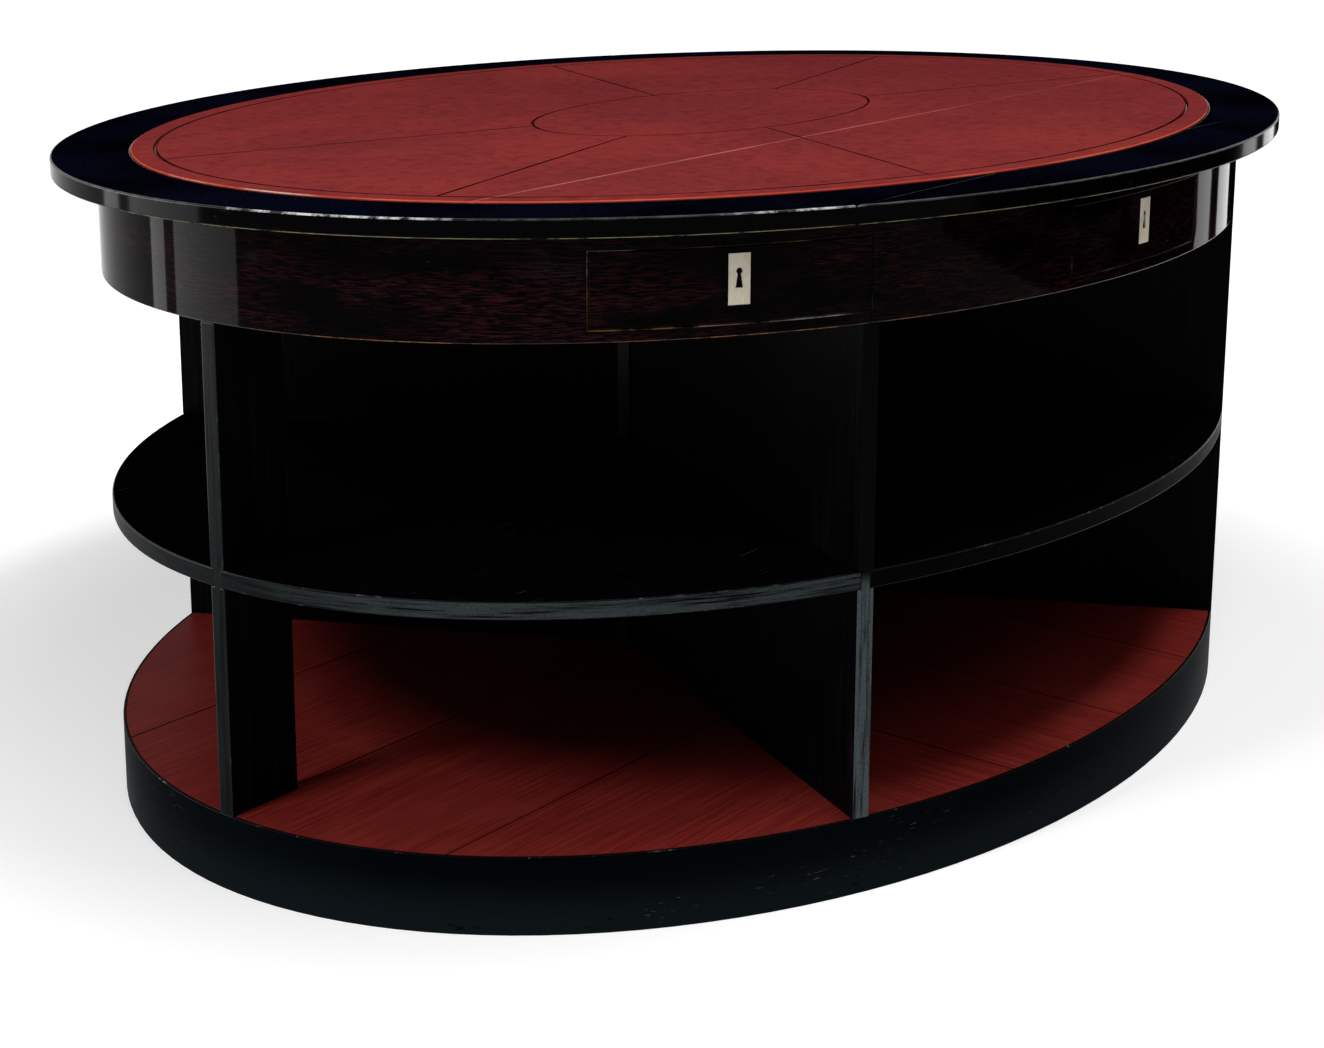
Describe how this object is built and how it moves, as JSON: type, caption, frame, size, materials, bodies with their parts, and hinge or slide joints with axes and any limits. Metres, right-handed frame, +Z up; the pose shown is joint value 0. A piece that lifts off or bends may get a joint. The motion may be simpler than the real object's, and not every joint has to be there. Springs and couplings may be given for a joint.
{
  "type": "captains desk",
  "caption": "Oval writing desk on a plinth, with radiating partitions, an open shelf all round, locking drawers in the apron and a red covered top with a black rim.",
  "frame": {"origin": "middle of the oval footprint, on the floor", "axes": "+X along the long axis, +Y to the back, +Z up"},
  "size_m": [1.7999, 1.3396, 0.762],
  "materials": {
    "black_lacquer": "gloss french polish over ebonised wood",
    "red_covering": "worn satin",
    "red_stain": "red stain under worn satin varnish",
    "drawer_wood": "plain planed wood",
    "bone_plate": "polished bone",
    "lock_brass": "satin",
    "lock_steel": "satin"
  },
  "bodies": {
    "carcass": {"apron_back": "black_lacquer", "apron_front": "black_lacquer", "apron_left_end": "black_lacquer", "apron_right_end": "black_lacquer", "centre_spine": "black_lacquer", "drawer_deck": "drawer_wood", "drawer_guides": "drawer_wood", "end_fin_left": "black_lacquer", "end_fin_right": "black_lacquer", "end_shelf_left": "black_lacquer", "end_shelf_right": "black_lacquer", "floor_board": "drawer_wood", "floor_lining": "red_stain", "partition_back_left": "black_lacquer", "partition_back_right": "black_lacquer", "partition_front_left": "black_lacquer", "partition_front_right": "black_lacquer", "plinth_band": "black_lacquer", "side_shelf_back": "black_lacquer", "side_shelf_front": "black_lacquer", "top_border": "red_covering", "top_core": "drawer_wood", "top_field": "red_covering", "top_rim": "black_lacquer"},
    "drawer_front_left": {"drawer_front_left_front": "black_lacquer", "drawer_front_left_box": "drawer_wood", "drawer_front_left_bottom": "drawer_wood", "drawer_front_left_escutcheon": "bone_plate", "drawer_front_left_lock": "lock_brass"},
    "drawer_front_left_bolt": {"drawer_front_left_bolt": "lock_steel"},
    "drawer_front_right": {"drawer_front_right_front": "black_lacquer", "drawer_front_right_box": "drawer_wood", "drawer_front_right_bottom": "drawer_wood", "drawer_front_right_escutcheon": "bone_plate", "drawer_front_right_lock": "lock_brass"},
    "drawer_front_right_bolt": {"drawer_front_right_bolt": "lock_steel"},
    "drawer_back_left": {"drawer_back_left_front": "black_lacquer", "drawer_back_left_box": "drawer_wood", "drawer_back_left_bottom": "drawer_wood", "drawer_back_left_escutcheon": "bone_plate", "drawer_back_left_lock": "lock_brass"},
    "drawer_back_left_bolt": {"drawer_back_left_bolt": "lock_steel"},
    "drawer_back_right": {"drawer_back_right_front": "black_lacquer", "drawer_back_right_box": "drawer_wood", "drawer_back_right_bottom": "drawer_wood", "drawer_back_right_escutcheon": "bone_plate", "drawer_back_right_lock": "lock_brass"},
    "drawer_back_right_bolt": {"drawer_back_right_bolt": "lock_steel"},
    "drawer_front_middle": {"drawer_front_middle_front": "black_lacquer", "drawer_front_middle_box": "drawer_wood", "drawer_front_middle_bottom": "drawer_wood", "drawer_front_middle_escutcheon": "bone_plate", "drawer_front_middle_lock": "lock_brass"},
    "drawer_front_middle_bolt": {"drawer_front_middle_bolt": "lock_steel"},
    "drawer_back_middle": {"drawer_back_middle_front": "black_lacquer", "drawer_back_middle_box": "drawer_wood", "drawer_back_middle_bottom": "drawer_wood", "drawer_back_middle_escutcheon": "bone_plate", "drawer_back_middle_lock": "lock_brass"},
    "drawer_back_middle_bolt": {"drawer_back_middle_bolt": "lock_steel"}
  },
  "joints": [
    {"name": "drawer_front_left_slide", "type": "slide", "parent": "carcass", "child": "drawer_front_left", "axis": [-0.4633, -0.8862, 0], "range_m": [0, 0.25]},
    {"name": "drawer_front_left_lock_bolt", "type": "slide", "parent": "drawer_front_left", "child": "drawer_front_left_bolt", "axis": [0, 0, 1], "range_m": [0, 0.008]},
    {"name": "drawer_front_right_slide", "type": "slide", "parent": "carcass", "child": "drawer_front_right", "axis": [0.4633, -0.8862, 0], "range_m": [0, 0.25]},
    {"name": "drawer_front_right_lock_bolt", "type": "slide", "parent": "drawer_front_right", "child": "drawer_front_right_bolt", "axis": [0, 0, 1], "range_m": [0, 0.008]},
    {"name": "drawer_back_left_slide", "type": "slide", "parent": "carcass", "child": "drawer_back_left", "axis": [-0.4633, 0.8862, 0], "range_m": [0, 0.25]},
    {"name": "drawer_back_left_lock_bolt", "type": "slide", "parent": "drawer_back_left", "child": "drawer_back_left_bolt", "axis": [0, 0, 1], "range_m": [0, 0.008]},
    {"name": "drawer_back_right_slide", "type": "slide", "parent": "carcass", "child": "drawer_back_right", "axis": [0.4633, 0.8862, 0], "range_m": [0, 0.25]},
    {"name": "drawer_back_right_lock_bolt", "type": "slide", "parent": "drawer_back_right", "child": "drawer_back_right_bolt", "axis": [0, 0, 1], "range_m": [0, 0.008]},
    {"name": "drawer_front_middle_slide", "type": "slide", "parent": "carcass", "child": "drawer_front_middle", "axis": [0, -1, 0], "range_m": [0, 0.25]},
    {"name": "drawer_front_middle_lock_bolt", "type": "slide", "parent": "drawer_front_middle", "child": "drawer_front_middle_bolt", "axis": [0, 0, 1], "range_m": [0, 0.008]},
    {"name": "drawer_back_middle_slide", "type": "slide", "parent": "carcass", "child": "drawer_back_middle", "axis": [0, 1, 0], "range_m": [0, 0.25]},
    {"name": "drawer_back_middle_lock_bolt", "type": "slide", "parent": "drawer_back_middle", "child": "drawer_back_middle_bolt", "axis": [0, 0, 1], "range_m": [0, 0.008]}
  ]
}
